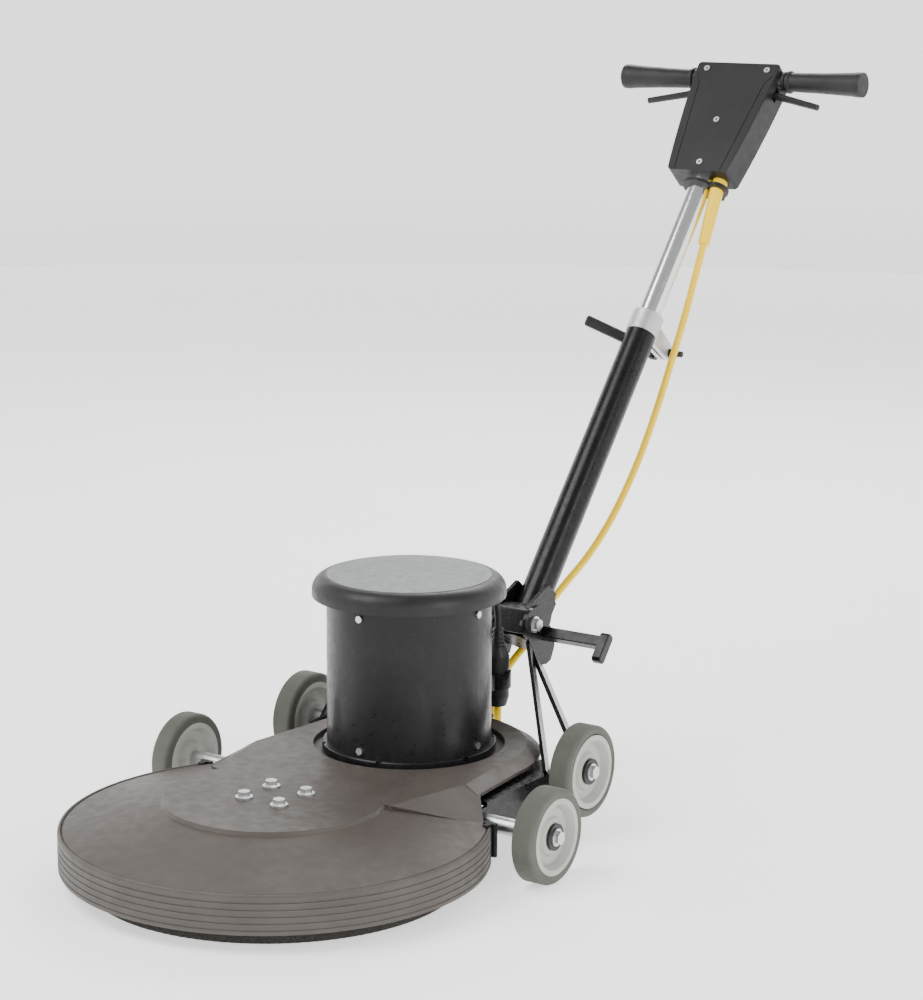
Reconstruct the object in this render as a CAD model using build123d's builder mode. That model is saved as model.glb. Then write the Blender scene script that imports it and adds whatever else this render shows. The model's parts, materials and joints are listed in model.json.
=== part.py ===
from build123d import *
from math import asin, cos, degrees, pi, radians, sin, sqrt, tan
import os

# Rotary floor burnisher, built at real size in millimetres.
# The origin is on the floor under the centre of the pad. The pad end faces -Y, the operator stands at +Y,
# and +X is the operator's left. The handle pieces are placed in the handle's own tilted frame.

os.makedirs("parts", exist_ok=True)

# ---- driving dimensions ----
# pad and deck
PAD_RADIUS = 254.0
PAD_THICKNESS = 22.0
PAD_HOLE_RADIUS = 40.0
DRIVER_RADIUS = 240.0
DRIVER_TOP = 42.0
DECK_RADIUS = 284.8
SKIRT_RADIUS = 290.0
SKIRT_BOTTOM = 24.7
SKIRT_TOP = 77.5
DECK_TOP = 113.0
DECK_THICKNESS = 5.0
PLATEAU_RADIUS = 150.0
PLATEAU_STEP = 5.0
RIM_HEIGHT = 76.5
WING_Y = 150.0
WING_TIP_X = 236.0
WING_ROOT_Y = 54.0
HOUSING_HALF = 200.0
HOUSING_FRONT_Y = 194.0
HOUSING_RADIUS = 188.0
HOUSING_BOTTOM = 97.0
HOUSING_SHOULDER = 101.6
HOUSING_INSET = 20.0
DECK_BOLT_HALF = 29.5
DECK_BOLT_RADIUS = 5.0

# spindle and drive
SHAFT_RADIUS = 12.5
PULLEY_LOW = 54.0
PULLEY_HIGH = 72.0
SPINDLE_PULLEY_RADIUS = 52.0
MOTOR_PULLEY_RADIUS = 45.0
BELT_THICKNESS = 5.0
RUNNING_GAP = 0.3
BEARING_FIT = 0.05

# motor
MOTOR_Y = 310.8
CAN_RADIUS = 117.2
CAN_WALL = 2.0
CAN_BASE = 112.0
CAN_TOP = 335.0
BASE_RING_RADIUS = 124.0
RECESS_RADIUS = 137.0
RECESS_FLOOR = 104.6
MOTOR_HOLE_RADIUS = 60.0
CAP_RADIUS = 137.8
CAP_BOTTOM = 330.0
CAP_TOP = 358.6
CAP_DISC_RADIUS = 117.0
MOTOR_SHAFT_RADIUS = 10.0
BULKHEAD_LOW = 290.0

# frame
BASE_PLATE_LOW = 85.0
BASE_PLATE_HIGH = 91.0
PLATE_OUT = 210.0
PLATE_THICKNESS = 6.0
YOKE_OUT = 40.0
PIVOT_Y = 578.0
PIVOT_Z = 235.0
PIVOT_RADIUS = 6.0
YOKE_RADIUS = 25.0

# wheels
TYRE_RADIUS = 65.4
RIM_RADIUS = 52.3
WHEEL_WIDTH = 30.5
AXLE_RADIUS = 6.0
AXLE_FIT = 0.08
FRONT_WHEEL = (326.6, 190.2, 65.4)
REAR_WHEEL = (258.2, 390.7, 92.6)

# handle
HANDLE_TILT = 39.68
LOWER_TUBE_RADIUS = 24.0
LOWER_TUBE_BORE = 21.0
LOWER_TUBE_START = -168.0
LOWER_TUBE_END = 384.0
UPPER_TUBE_RADIUS = 19.0
UPPER_TUBE_BORE = 17.0
UPPER_TUBE_START = 140.0
UPPER_TUBE_END = 705.0
SLIDE_FIT = 0.08
COLLAR_TOP = 420.0
COLLAR_RADIUS = 25.5
CLAMP_ALONG = 404.0
CLAMP_REAR = 84.0
CLAMP_PIN_X = -20.0
LEVER_REACH = 122.0
HEAD_LOW = 682.0
HEAD_HIGH = 898.0
HEAD_HALF_LOW = 54.3
HEAD_HALF_HIGH = 76.0
HEAD_FRONT = 30.0
HEAD_SPLIT = 18.0
HEAD_REAR = -20.0
BAR_ALONG = 881.0
BAR_HEIGHT = 4.0
BAR_RADIUS = 12.5
GRIP_END = 219.9
TRIGGER_PIVOT_X = 62.0
TRIGGER_ALONG = 853.5
TRIGGER_HEIGHT = 6.0
TRIGGER_TIP_X = 157.0
TRIGGER_DROP = 13.2

# cord
CORD_RADIUS = 5.75
BOOT_TOP = (31.5, 1.0, 668.0)
BOOT_END = (31.0, 24.0, 575.0)
CLIP_POINT = (6.0, 36.0, -95.0)

HANDLE_DIR = Vector(0, sin(radians(HANDLE_TILT)), cos(radians(HANDLE_TILT)))
HANDLE_REAR = Vector(0, cos(radians(HANDLE_TILT)), -sin(radians(HANDLE_TILT)))
HANDLE_ORIGIN = Vector(0, 700.4, 328.8)


def handle_point(x, rear, along):
    """Point in the handle's frame: sideways, behind the tube axis, and up along it."""
    return HANDLE_ORIGIN + Vector(x, 0, 0) + HANDLE_REAR * rear + HANDLE_DIR * along


def across_plane(along, x=0, rear=0):
    """Plane square to the tube: local x is sideways, local y is rearwards."""
    return Plane(origin=handle_point(x, rear, along), x_dir=(1, 0, 0), z_dir=HANDLE_DIR)


def face_plane(height):
    """Plane parallel to the head's front face: local x is sideways, local y is along the tube."""
    return Plane(origin=handle_point(0, -height, 0), x_dir=(1, 0, 0), z_dir=-HANDLE_REAR)


def handle_side_plane(x):
    """Plane square to X in the handle's frame: local x is rearwards, local y is along the tube."""
    return Plane(origin=handle_point(x, 0, 0), x_dir=HANDLE_REAR, z_dir=(1, 0, 0))


def side_plane(x):
    """Plane square to X in the machine's frame: local x is +Y, local y is +Z."""
    return Plane(origin=(x, 0, 0), x_dir=(0, 1, 0), z_dir=(1, 0, 0))


def save(shape, name):
    shape.label = name
    export_step(shape, f"parts/{name}.step")


def capsule_hull(first_radius, second_radius, distance, grow):
    """Closed outline around two circles: the origin's and one at (0, distance)."""
    angle = asin((first_radius - second_radius) / distance)
    first = first_radius + grow
    second = second_radius + grow
    side = Vector(cos(angle), sin(angle))
    low_right = side * first
    high_right = Vector(0, distance) + side * second
    low_left = Vector(-low_right.X, low_right.Y)
    high_left = Vector(-high_right.X, high_right.Y)
    Line(low_right, high_right)
    ThreePointArc(high_right, (0, distance + second), high_left)
    Line(high_left, low_left)
    ThreePointArc(low_left, (0, -first), low_right)


# ---- deck ----
def housing_section(half):
    """Cross-section of the rear housing, square to Y, with its bevelled top."""
    Polygon(
        (-half, HOUSING_BOTTOM),
        (half, HOUSING_BOTTOM),
        (half, HOUSING_SHOULDER),
        (half - HOUSING_INSET, DECK_TOP),
        (HOUSING_INSET - half, DECK_TOP),
        (-half, HOUSING_SHOULDER),
        align=None,
    )


wing_root = Vector(PLATEAU_RADIUS - 1, WING_ROOT_Y, DECK_TOP)
wing_tip = Vector(WING_TIP_X, WING_Y, RIM_HEIGHT - 0.5)
wing_rear = Vector(HOUSING_HALF, HOUSING_FRONT_Y, HOUSING_SHOULDER)
wing_inner = Vector(HOUSING_HALF - HOUSING_INSET, HOUSING_FRONT_Y, DECK_TOP)
wing_normal = (wing_tip - wing_root).cross(wing_rear - wing_root).normalized()
wing_plane = Plane(origin=wing_root, x_dir=(wing_tip - wing_root).normalized(), z_dir=wing_normal)
wing_corners = [wing_plane.to_local_coords(p) for p in (wing_root, wing_tip, wing_rear, wing_inner)]
WING_THICKNESS = 6.0

# rear housing around the motor: bevelled flanks, the round rear lobe, the motor's recess and hole
HOUSING_LAP = 6.0
with BuildPart() as rear_housing:
    with BuildSketch(Plane.XZ.offset(HOUSING_LAP - HOUSING_FRONT_Y)):
        housing_section(HOUSING_HALF)
    with BuildSketch(Plane.XZ.offset(-MOTOR_Y)):
        housing_section(HOUSING_RADIUS)
    loft()
    with BuildSketch(Plane.XZ.offset(-MOTOR_Y)):
        Polygon(
            (0, HOUSING_BOTTOM),
            (HOUSING_RADIUS, HOUSING_BOTTOM),
            (HOUSING_RADIUS, HOUSING_SHOULDER),
            (HOUSING_RADIUS - HOUSING_INSET, DECK_TOP),
            (0, DECK_TOP),
            align=None,
        )
    revolve(axis=Axis((0, MOTOR_Y, 0), (0, 0, 1)), revolution_arc=180)
    with BuildSketch(Plane.XY.offset(RECESS_FLOOR)):
        with Locations((0, MOTOR_Y)):
            Circle(RECESS_RADIUS)
    extrude(amount=20, mode=Mode.SUBTRACT)
    with BuildSketch(Plane.XY.offset(HOUSING_BOTTOM - 1)):
        with Locations((0, MOTOR_Y)):
            Circle(MOTOR_HOLE_RADIUS)
    extrude(amount=20, mode=Mode.SUBTRACT)

with BuildPart() as deck:
    # domed front: plateau disc, small step, sloping shoulder and rim
    with BuildSketch(Plane.XZ):
        Polygon(
            (0, DECK_TOP),
            (PLATEAU_RADIUS, DECK_TOP),
            (PLATEAU_RADIUS + 3, DECK_TOP - PLATEAU_STEP),
            (DECK_RADIUS - 2, RIM_HEIGHT + 0.6),
            (DECK_RADIUS, RIM_HEIGHT - 1.5),
            (DECK_RADIUS, 56),
            (DECK_RADIUS - DECK_THICKNESS, 56),
            (DECK_RADIUS - DECK_THICKNESS, RIM_HEIGHT - DECK_THICKNESS),
            (PLATEAU_RADIUS, DECK_TOP - PLATEAU_STEP - DECK_THICKNESS),
            (PLATEAU_RADIUS - 4, DECK_TOP - 6),
            (0, DECK_TOP - 6),
            align=None,
        )
    revolve(axis=Axis.Z)
    with BuildSketch(Plane.XY.offset(40)):
        with Locations((0, WING_Y + 100)):
            Rectangle(700, 200)
    extrude(amount=100, mode=Mode.SUBTRACT)
    # flat bridge from the plateau back to the rear housing, open over the motor's recess
    with BuildSketch(Plane.XY.offset(DECK_TOP - 6)):
        Polygon(
            (-wing_root.X, wing_root.Y),
            (wing_root.X, wing_root.Y),
            (wing_inner.X, wing_inner.Y),
            (-wing_inner.X, wing_inner.Y),
            align=None,
        )
        with Locations((0, MOTOR_Y)):
            Circle(RECESS_RADIUS, mode=Mode.SUBTRACT)
    extrude(amount=6)
    # sloping wings beside the bridge
    with BuildSketch(wing_plane):
        Polygon(*[(p.X, p.Y) for p in wing_corners], align=None)
    wing = extrude(amount=-WING_THICKNESS)
    mirror(wing, about=Plane.YZ)
    add(rear_housing.part)
    # holes for the spindle housing's bolts
    with BuildSketch(Plane.XY.offset(DECK_TOP)):
        with GridLocations(2 * DECK_BOLT_HALF, 2 * DECK_BOLT_HALF, 2, 2):
            Circle(DECK_BOLT_RADIUS)
    extrude(amount=-10, mode=Mode.SUBTRACT)
save(deck.part, "deck_cover")

RIB_COUNT = 5
RIB_PITCH = 9.0
RIB_RELIEF = 0.8
with BuildPart() as skirt:
    with BuildSketch(Plane.XZ):
        Polygon(
            (DECK_RADIUS, SKIRT_BOTTOM),
            (SKIRT_RADIUS - 1.2, SKIRT_BOTTOM),
            (SKIRT_RADIUS, SKIRT_BOTTOM + 2.5),
            (SKIRT_RADIUS, SKIRT_TOP - 3),
            (SKIRT_RADIUS - 1.2, SKIRT_TOP),
            (DECK_RADIUS + 1, SKIRT_TOP),
            (DECK_RADIUS, SKIRT_TOP - 3),
            align=None,
        )
        for rib in range(RIB_COUNT):
            with Locations((SKIRT_RADIUS, SKIRT_BOTTOM + 7 + rib * RIB_PITCH)):
                Rectangle(2 * RIB_RELIEF, 2, mode=Mode.SUBTRACT)
    revolve(axis=Axis.Z)
    with BuildSketch(Plane.XY):
        with Locations((0, WING_Y + 100)):
            Rectangle(700, 200)
    extrude(amount=100, mode=Mode.SUBTRACT)
save(skirt.part, "splash_skirt")

CLIP_LOW = 34.0
CLIP_X = 244.0
with BuildPart() as skirt_clips:
    for side in (-1, 1):
        with BuildSketch(Plane.XY.offset(CLIP_LOW)):
            with Locations((side * CLIP_X, WING_Y + 3.5)):
                RectangleRounded(20, 7, 2)
        extrude(amount=SKIRT_TOP - CLIP_LOW + 3)
        with BuildSketch(Plane.XY.offset(SKIRT_TOP)):
            with Locations((side * (CLIP_X + 1), WING_Y - 5)):
                Rectangle(8, 12)
        extrude(amount=3)
save(skirt_clips.part, "skirt_clips")

with BuildPart() as deck_bolts:
    with BuildSketch(Plane.XY.offset(DECK_TOP)):
        with GridLocations(2 * DECK_BOLT_HALF, 2 * DECK_BOLT_HALF, 2, 2):
            Circle(12)
    extrude(amount=2.5)
    with BuildSketch(Plane.XY.offset(DECK_TOP + 2.5)):
        with GridLocations(2 * DECK_BOLT_HALF, 2 * DECK_BOLT_HALF, 2, 2):
            RegularPolygon(8.6, 6)
    extrude(amount=7)
    with BuildSketch(Plane.XY.offset(DECK_TOP)):
        with GridLocations(2 * DECK_BOLT_HALF, 2 * DECK_BOLT_HALF, 2, 2):
            Circle(DECK_BOLT_RADIUS)
    extrude(amount=-16)
save(deck_bolts.part, "deck_bolts")

# ---- spindle bearing housing and bearings ----
HOUSING_LOW = 76.0
SPINDLE_BEARING_OUT = 26.0
MOTOR_BEARING_OUT = 23.5
with BuildPart() as bearing_housing:
    with BuildSketch(Plane.XZ):
        Polygon(
            (SPINDLE_BEARING_OUT, HOUSING_LOW),
            (36, HOUSING_LOW),
            (36, 95),
            (54, 95),
            (54, DECK_TOP - 6),
            (SPINDLE_BEARING_OUT, DECK_TOP - 6),
            align=None,
        )
    revolve(axis=Axis.Z)
    with BuildSketch(Plane.XY.offset(90)):
        with GridLocations(2 * DECK_BOLT_HALF, 2 * DECK_BOLT_HALF, 2, 2):
            Circle(DECK_BOLT_RADIUS)
    extrude(amount=20, mode=Mode.SUBTRACT)
save(bearing_housing.part, "spindle_housing")


spindle_bearing = (SHAFT_RADIUS + BEARING_FIT, SPINDLE_BEARING_OUT, 0, 13)
motor_bearing = (MOTOR_SHAFT_RADIUS + BEARING_FIT, MOTOR_BEARING_OUT, MOTOR_Y, 14)
BEARING_SEATS = ((spindle_bearing, 77), (spindle_bearing, 92), (motor_bearing, 100), (motor_bearing, 292))

with BuildPart() as bearings:
    for (inner, outer, centre_y, width), low in BEARING_SEATS:
        with BuildSketch(Plane(origin=(0, centre_y, low))):
            Circle(outer)
            Circle(inner, mode=Mode.SUBTRACT)
        extrude(amount=width)
save(bearings.part, "ball_bearings")

# ---- spindle, pad driver and pad ----
with BuildPart() as spindle_shaft:
    with BuildSketch(Plane.XY.offset(DRIVER_TOP + 10)):
        Circle(SHAFT_RADIUS)
    extrude(amount=106 - DRIVER_TOP - 10)
    chamfer(spindle_shaft.faces().sort_by(Axis.Z)[-1].edges(), length=1)
save(spindle_shaft.part, "spindle_shaft")


def grooved_pulley(radius, centre_y, bore):
    """Ribbed pulley for the flat belt, lightened by round holes."""
    width = PULLEY_HIGH - PULLEY_LOW
    with BuildPart() as pulley:
        with BuildSketch(Plane(origin=(0, centre_y, 0), x_dir=(1, 0, 0), z_dir=(0, -1, 0))):
            with Locations((radius / 2 + bore / 2, PULLEY_LOW + width / 2)):
                Rectangle(radius - bore, width)
            for groove in range(5):
                with Locations((radius, PULLEY_LOW + 3 + groove * 3)):
                    Rectangle(3, 1, mode=Mode.SUBTRACT)
        revolve(axis=Axis((0, centre_y, 0), (0, 0, 1)))
        with BuildSketch(Plane(origin=(0, centre_y, PULLEY_LOW))):
            with PolarLocations((radius + bore) / 2, 5):
                Circle((radius - bore) * 0.22)
        extrude(amount=width, mode=Mode.SUBTRACT)
    return pulley.part


save(grooved_pulley(SPINDLE_PULLEY_RADIUS, 0, SHAFT_RADIUS), "spindle_pulley")

with BuildPart() as pad_driver:
    with BuildSketch(Plane.XZ):
        Polygon(
            (0, PAD_THICKNESS - 12),
            (PAD_HOLE_RADIUS - 3, PAD_THICKNESS - 12),
            (PAD_HOLE_RADIUS - 1, PAD_THICKNESS),
            (DRIVER_RADIUS, PAD_THICKNESS),
            (DRIVER_RADIUS, DRIVER_TOP - 6),
            (DRIVER_RADIUS - 4, DRIVER_TOP),
            (44, DRIVER_TOP),
            (40, DRIVER_TOP + 10),
            (0, DRIVER_TOP + 10),
            align=None,
        )
    revolve(axis=Axis.Z)
    with BuildSketch(Plane.XY.offset(DRIVER_TOP - 6)):
        with PolarLocations(150, 6):
            RectangleRounded(110, 50, 12)
    extrude(amount=6, mode=Mode.SUBTRACT)
save(pad_driver.part, "pad_driver")

with BuildPart() as floor_pad:
    with BuildSketch(Plane.XY):
        Circle(PAD_RADIUS)
    extrude(amount=PAD_THICKNESS)
    fillet(floor_pad.edges(), radius=3)
    # pocket for the driver's centre lock
    with BuildSketch(Plane.XY.offset(PAD_THICKNESS - 14)):
        Circle(PAD_HOLE_RADIUS)
    extrude(amount=14, mode=Mode.SUBTRACT)
save(floor_pad.part, "floor_pad")

# ---- drive belt ----
BELT_LOW = PULLEY_LOW + 1
BELT_WIDTH = 16.0
with BuildPart() as drive_belt:
    with BuildSketch(Plane.XY.offset(BELT_LOW)) as belt_loop:
        with BuildLine():
            capsule_hull(SPINDLE_PULLEY_RADIUS, MOTOR_PULLEY_RADIUS, MOTOR_Y, RUNNING_GAP + BELT_THICKNESS)
        make_face()
        with BuildLine() as inner_loop:
            capsule_hull(SPINDLE_PULLEY_RADIUS, MOTOR_PULLEY_RADIUS, MOTOR_Y, RUNNING_GAP)
        make_face(inner_loop.edges(), mode=Mode.SUBTRACT)
    extrude(amount=BELT_WIDTH)
save(drive_belt.part, "drive_belt")

# ---- motor ----
NOTCH_COUNT = 6
NOTCH_START = -75.0
with BuildPart() as motor_base:
    with BuildSketch(Plane(origin=(0, MOTOR_Y, 0), x_dir=(1, 0, 0), z_dir=(0, -1, 0))):
        Polygon(
            (MOTOR_BEARING_OUT, 98),
            (36, 98),
            (36, RECESS_FLOOR),
            (BASE_RING_RADIUS, RECESS_FLOOR),
            (BASE_RING_RADIUS, CAN_BASE + 4),
            (BASE_RING_RADIUS - 1.5, CAN_BASE + 5.5),
            (CAN_RADIUS, CAN_BASE + 5.5),
            (CAN_RADIUS, CAN_BASE),
            (36, CAN_BASE),
            (33, 128),
            (MOTOR_BEARING_OUT, 128),
            align=None,
        )
    revolve(axis=Axis((0, MOTOR_Y, 0), (0, 0, 1)))
    with BuildSketch(Plane(origin=(0, MOTOR_Y, CAN_BASE))):
        with PolarLocations(BASE_RING_RADIUS - 1, NOTCH_COUNT, start_angle=NOTCH_START):
            Rectangle(5, 8)
    extrude(amount=8, mode=Mode.SUBTRACT)
save(motor_base.part, "motor_base")

CAN_SCREW_COUNT = 4
CAN_SCREW_START = -90.5
CAN_SCREW_HEIGHTS = (127.0, 316.5)
with BuildPart() as motor_can:
    with BuildSketch(Plane(origin=(0, MOTOR_Y, CAN_BASE))):
        Circle(CAN_RADIUS)
        Circle(CAN_RADIUS - CAN_WALL, mode=Mode.SUBTRACT)
    extrude(amount=CAN_TOP - CAN_BASE)
    with BuildSketch(Plane(origin=(0, MOTOR_Y, BULKHEAD_LOW))):
        Circle(CAN_RADIUS - CAN_WALL)
        Circle(MOTOR_BEARING_OUT, mode=Mode.SUBTRACT)
        with PolarLocations(75, 8):
            Circle(18, mode=Mode.SUBTRACT)
    extrude(amount=5)
    with BuildSketch(Plane(origin=(0, MOTOR_Y, BULKHEAD_LOW + 5))):
        Circle(33)
        Circle(MOTOR_BEARING_OUT, mode=Mode.SUBTRACT)
    extrude(amount=12)
save(motor_can.part, "motor_can")

with BuildPart() as can_screws:
    for height in CAN_SCREW_HEIGHTS:
        for turn in range(CAN_SCREW_COUNT):
            angle = radians(CAN_SCREW_START + 360 / CAN_SCREW_COUNT * turn)
            outward = Vector(cos(angle), sin(angle), 0)
            seat = Vector(0, MOTOR_Y, height) + outward * CAN_RADIUS
            with BuildSketch(Plane(origin=seat, z_dir=outward)):
                Circle(5)
            extrude(amount=3.2)
save(can_screws.part, "can_screws")

with BuildPart() as motor_cap:
    with BuildSketch(Plane(origin=(0, MOTOR_Y, 0), x_dir=(1, 0, 0), z_dir=(0, -1, 0))) as cap_profile:
        with BuildLine():
            Line((0, CAP_TOP), (CAP_DISC_RADIUS + 2.7, CAP_TOP))
            ThreePointArc(
                (CAP_DISC_RADIUS + 2.7, CAP_TOP),
                (CAP_RADIUS - 5.9, CAP_TOP - 6.2),
                (CAP_RADIUS, CAP_BOTTOM + 8),
            )
            Polyline(
                (CAP_RADIUS, CAP_BOTTOM + 8),
                (CAP_RADIUS, CAP_BOTTOM),
                (CAP_RADIUS - 3.5, CAP_BOTTOM),
                (CAP_RADIUS - 3.5, CAP_BOTTOM + 8),
                (CAP_DISC_RADIUS, CAP_TOP - 4),
                (CAN_RADIUS - CAN_WALL, CAP_TOP - 4),
                (CAN_RADIUS - CAN_WALL, CAP_BOTTOM),
                (CAN_RADIUS - CAN_WALL - 3, CAP_BOTTOM),
                (CAN_RADIUS - CAN_WALL - 3, CAP_TOP - 4),
                (0, CAP_TOP - 4),
                (0, CAP_TOP),
            )
        make_face()
    revolve(axis=Axis((0, MOTOR_Y, 0), (0, 0, 1)))
save(motor_cap.part, "motor_cap")

with BuildPart() as cap_disc:
    with BuildSketch(Plane(origin=(0, MOTOR_Y, CAP_TOP))):
        Circle(CAP_DISC_RADIUS)
    extrude(amount=0.8)
save(cap_disc.part, "cap_disc")

STATOR_LOW = 150.0
STATOR_HIGH = 236.0
with BuildPart() as motor_stator:
    with BuildSketch(Plane(origin=(0, MOTOR_Y, STATOR_LOW))):
        Circle(82)
        Circle(54, mode=Mode.SUBTRACT)
        with PolarLocations(65, 24):
            SlotOverall(16, 5, mode=Mode.SUBTRACT)
    extrude(amount=STATOR_HIGH - STATOR_LOW)
    with BuildSketch(Plane(origin=(0, MOTOR_Y, STATOR_LOW - 14))):
        Circle(78)
        Circle(60, mode=Mode.SUBTRACT)
    extrude(amount=14)
    with BuildSketch(Plane(origin=(0, MOTOR_Y, STATOR_HIGH))):
        Circle(78)
        Circle(60, mode=Mode.SUBTRACT)
    extrude(amount=14)
save(motor_stator.part, "motor_stator")

with BuildPart() as motor_rotor:
    with BuildSketch(Plane(origin=(0, MOTOR_Y, STATOR_LOW - 4))):
        Circle(53)
        Circle(MOTOR_SHAFT_RADIUS, mode=Mode.SUBTRACT)
        with PolarLocations(30, 6):
            Circle(8, mode=Mode.SUBTRACT)
    extrude(amount=STATOR_HIGH - STATOR_LOW + 8)
save(motor_rotor.part, "motor_rotor")

with BuildPart() as motor_shaft:
    with BuildSketch(Plane(origin=(0, MOTOR_Y, 50))):
        Circle(MOTOR_SHAFT_RADIUS)
    extrude(amount=280)
    chamfer(motor_shaft.edges(), length=1)
save(motor_shaft.part, "motor_shaft")

FAN_BLADES = 9
FAN_LOW = 309.0
with BuildPart() as cooling_fan:
    with BuildSketch(Plane(origin=(0, MOTOR_Y, FAN_LOW))):
        Circle(100)
        Circle(MOTOR_SHAFT_RADIUS, mode=Mode.SUBTRACT)
    extrude(amount=2.5)
    with BuildSketch(Plane(origin=(0, MOTOR_Y, FAN_LOW + 2.5))):
        with PolarLocations(66, FAN_BLADES, start_angle=12):
            Rectangle(62, 2.2, rotation=24)
        Circle(20)
        Circle(MOTOR_SHAFT_RADIUS, mode=Mode.SUBTRACT)
    extrude(amount=16)
save(cooling_fan.part, "cooling_fan")

save(grooved_pulley(MOTOR_PULLEY_RADIUS, MOTOR_Y, MOTOR_SHAFT_RADIUS), "motor_pulley")

# ---- frame: base plate, side plates and braces ----
SPACER_POINTS = ((150, 240), (-150, 240), (110, 385), (-110, 385))
with BuildPart() as base_plate:
    with BuildSketch(Plane.XY.offset(BASE_PLATE_LOW)):
        Polygon(
            (-PLATE_OUT, 197),
            (PLATE_OUT, 197),
            (PLATE_OUT, 358),
            (170, 404),
            (-170, 404),
            (-PLATE_OUT, 358),
            align=None,
        )
        with Locations((0, MOTOR_Y)):
            Circle(72, mode=Mode.SUBTRACT)
    extrude(amount=BASE_PLATE_HIGH - BASE_PLATE_LOW)
    with BuildSketch(Plane.XY.offset(BASE_PLATE_HIGH)):
        with Locations(*SPACER_POINTS):
            Circle(11)
    extrude(amount=HOUSING_BOTTOM - BASE_PLATE_HIGH)
save(base_plate.part, "base_plate")

BEND_LOW_FRONT = Vector(PLATE_OUT, 408, 130)
BEND_LOW_REAR = Vector(PLATE_OUT, 436, 102)
BEND_HIGH_FRONT = Vector(YOKE_OUT, 575, 196)
BEND_HIGH_REAR = Vector(YOKE_OUT, 603, 168)
bend_line = (BEND_LOW_REAR - BEND_LOW_FRONT).normalized()
strap_rise = BEND_HIGH_FRONT - BEND_LOW_FRONT
strap_plane = Plane(origin=BEND_LOW_FRONT, x_dir=bend_line, z_dir=bend_line.cross(strap_rise).normalized())
strap_overrun = strap_rise.normalized() * 7
strap_corners = [
    strap_plane.to_local_coords(p)
    for p in (BEND_LOW_FRONT, BEND_LOW_REAR, BEND_HIGH_REAR + strap_overrun, BEND_HIGH_FRONT + strap_overrun)
]

with BuildPart() as side_plate:
    # lower plate: carries both wheels of one side
    with BuildSketch(side_plane(PLATE_OUT)):
        Polygon(
            (190, BASE_PLATE_LOW),
            (363, BASE_PLATE_LOW),
            (BEND_LOW_FRONT.Y, BEND_LOW_FRONT.Z),
            (BEND_LOW_REAR.Y, BEND_LOW_REAR.Z),
            (380, 46),
            (190, 46),
            align=None,
        )
        with Locations((FRONT_WHEEL[1], FRONT_WHEEL[2])):
            Circle(19.5)
    extrude(amount=-PLATE_THICKNESS)
    # strap leaning in to the yoke
    with BuildSketch(strap_plane):
        Polygon(*[(p.X, p.Y) for p in strap_corners], align=None)
    extrude(amount=-PLATE_THICKNESS)
    # yoke plate with its rear lobe
    with BuildSketch(side_plane(YOKE_OUT)):
        with Locations((PIVOT_Y, PIVOT_Z)):
            Circle(YOKE_RADIUS)
        Polygon(
            (PIVOT_Y - 24.6, PIVOT_Z - 5),
            (BEND_HIGH_FRONT.Y, BEND_HIGH_FRONT.Z),
            (BEND_HIGH_REAR.Y, BEND_HIGH_REAR.Z),
            (612, 166),
            (626, 170),
            (636, 190),
            (634, 212),
            (PIVOT_Y + 18, PIVOT_Z + 17),
            align=None,
        )
        with Locations((PIVOT_Y, PIVOT_Z)):
            Circle(PIVOT_RADIUS, mode=Mode.SUBTRACT)
    extrude(amount=-PLATE_THICKNESS)
save(side_plate.part, "side_plate_left")
save(mirror(side_plate.part, about=Plane.YZ), "side_plate_right")

BRACE_START = Vector(37, 571, 201)
BRACE_END = Vector(207, 353, 86)
BRACE_WIDTH = 24.0
BRACE_THICKNESS = 5.0
BRACE_WIDTH_DIR = Vector(0.08, 0.49, -0.86)
brace_along = (BRACE_END - BRACE_START).normalized()
brace_plane = Plane(origin=BRACE_START, x_dir=brace_along, z_dir=brace_along.cross(BRACE_WIDTH_DIR).normalized())
with BuildPart() as braces:
    with BuildSketch(brace_plane):
        with Locations(((BRACE_END - BRACE_START).length / 2, 0)):
            Rectangle((BRACE_END - BRACE_START).length, BRACE_WIDTH)
    extrude(amount=BRACE_THICKNESS / 2, both=True)
    add(side_plate.part, mode=Mode.SUBTRACT)
    add(base_plate.part, mode=Mode.SUBTRACT)
brace_solid = braces.part.solids().sort_by(SortBy.VOLUME)[-1]
brace_pair = Compound([brace_solid, mirror(brace_solid, about=Plane.YZ)])
save(brace_pair, "frame_braces")

# ---- wheels, axles and their hardware ----
HUB_RECESS = 6.0
HUB_GAP = 0.4
WASHER_THICKNESS = 4.0


def wheel_plane(outer_x, y, z, side):
    """Local x runs inward along the axle from the wheel's outer face, local y is radial."""
    return Plane(origin=(side * outer_x, y, z), x_dir=(-side, 0, 0), z_dir=(0, side, 0))


def wheel_axis(y, z):
    return Axis((0, y, z), (1, 0, 0))


def build_wheel(name, wheel, side):
    outer_x, y, z = wheel
    plane = wheel_plane(outer_x, y, z, side)
    with BuildPart() as tyre:
        with BuildSketch(plane) as tyre_profile:
            with Locations((WHEEL_WIDTH / 2, (TYRE_RADIUS + RIM_RADIUS) / 2)):
                Rectangle(WHEEL_WIDTH, TYRE_RADIUS - RIM_RADIUS)
            fillet(tyre_profile.vertices().sort_by(Axis.Z)[-2:], radius=6)
        revolve(axis=wheel_axis(y, z))
    save(tyre.part, f"{name}_tyre")
    bore = AXLE_RADIUS + AXLE_FIT
    with BuildPart() as rim:
        with BuildSketch(plane):
            Polygon(
                (0, RIM_RADIUS),
                (0, 45),
                (2.5, 43.5),
                (11, 39),
                (11, 28),
                (7, 24),
                (HUB_RECESS, 20),
                (HUB_RECESS, bore),
                (WHEEL_WIDTH, bore),
                (WHEEL_WIDTH, 20),
                (21, 26),
                (21, 39),
                (28, 43.5),
                (WHEEL_WIDTH, 45),
                (WHEEL_WIDTH, RIM_RADIUS),
                align=None,
            )
        revolve(axis=wheel_axis(y, z))
    save(rim.part, f"{name}_rim")


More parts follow.
